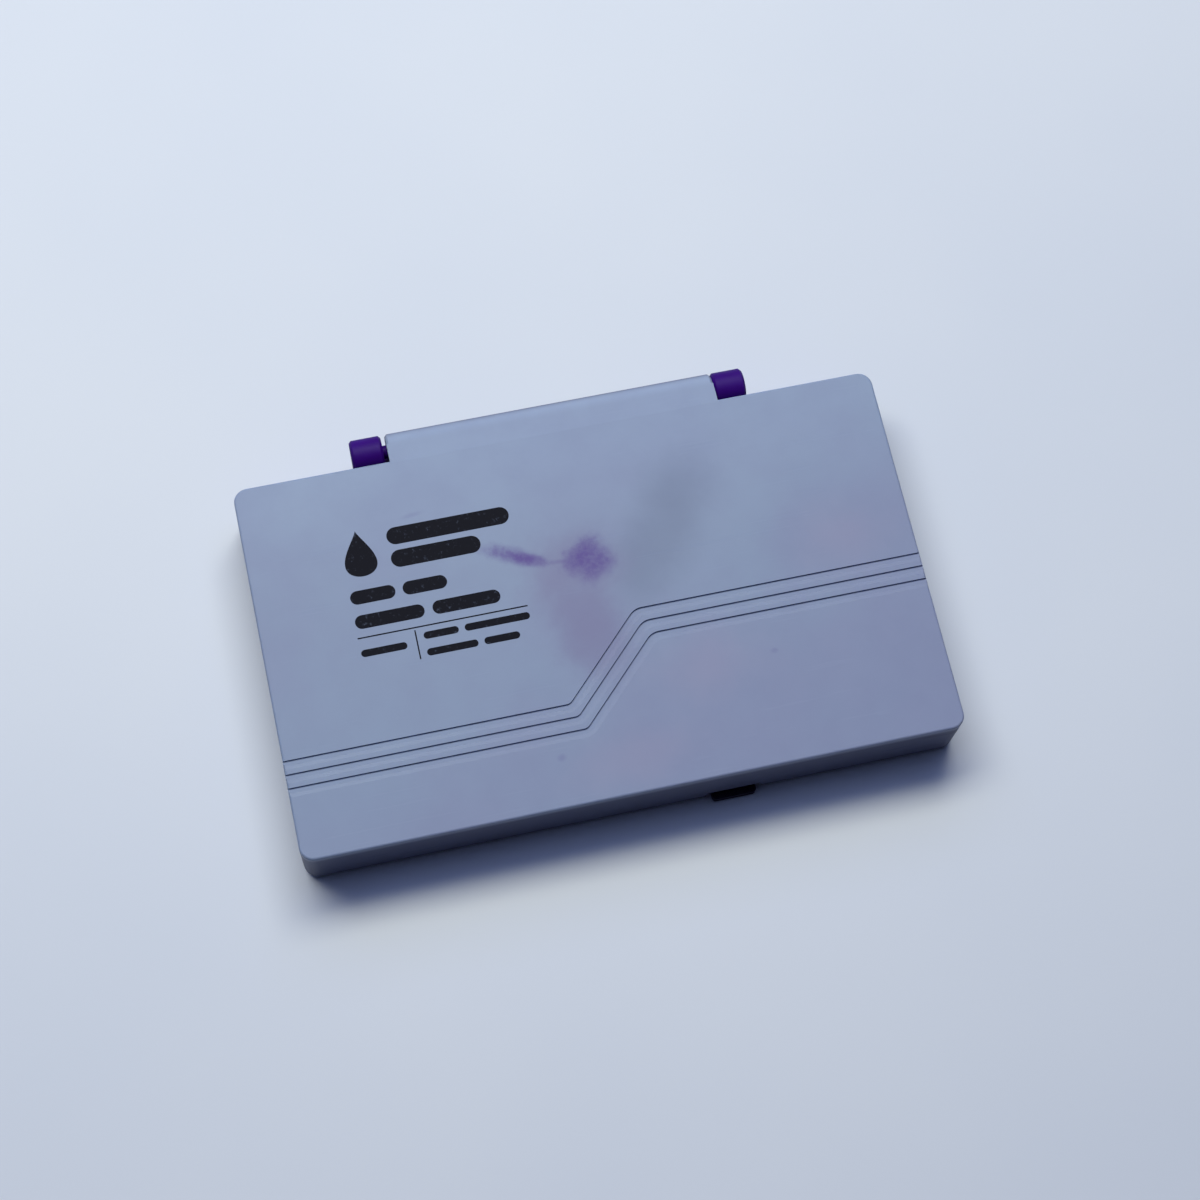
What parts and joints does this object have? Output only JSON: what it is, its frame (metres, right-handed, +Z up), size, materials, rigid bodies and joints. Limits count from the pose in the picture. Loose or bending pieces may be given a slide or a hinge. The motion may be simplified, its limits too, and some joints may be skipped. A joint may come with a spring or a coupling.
{
  "type": "stamp pad",
  "caption": "Flat hinged ink pad for rubber stamps, with a grey grooved lid over a purple case that holds a purple cloth pad.",
  "frame": {"origin": "on the table under the middle of the base, at the centre of the face it rests on", "axes": "+X along the case, to the right with the hinge at the back; +Y towards the hinge; +Z up"},
  "size_m": [0.098, 0.0635, 0.0118],
  "materials": {
    "lid_plastic": "satin",
    "case_plastic": "satin",
    "tray_plastic": "satin",
    "felt": "matte",
    "foam": "matte",
    "ink_cloth": "damp",
    "label_paper": "matte",
    "liner_film": "gloss",
    "print_ink": "matte"
  },
  "bodies": {
    "base": {"base_case": "case_plastic", "insert_tray": "tray_plastic", "felt_core": "felt", "foam_layer": "foam", "ink_cloth": "ink_cloth", "base_label": "label_paper"},
    "lid_body": {"lid": "lid_plastic", "lid_liner": "liner_film"}
  },
  "joints": [
    {"name": "lid_hinge", "type": "hinge", "parent": "base", "child": "lid_body", "pos_m": [0, 0.0314, 0.009], "axis": [-1, 0, 0], "range_deg": [0, 185.8]}
  ]
}
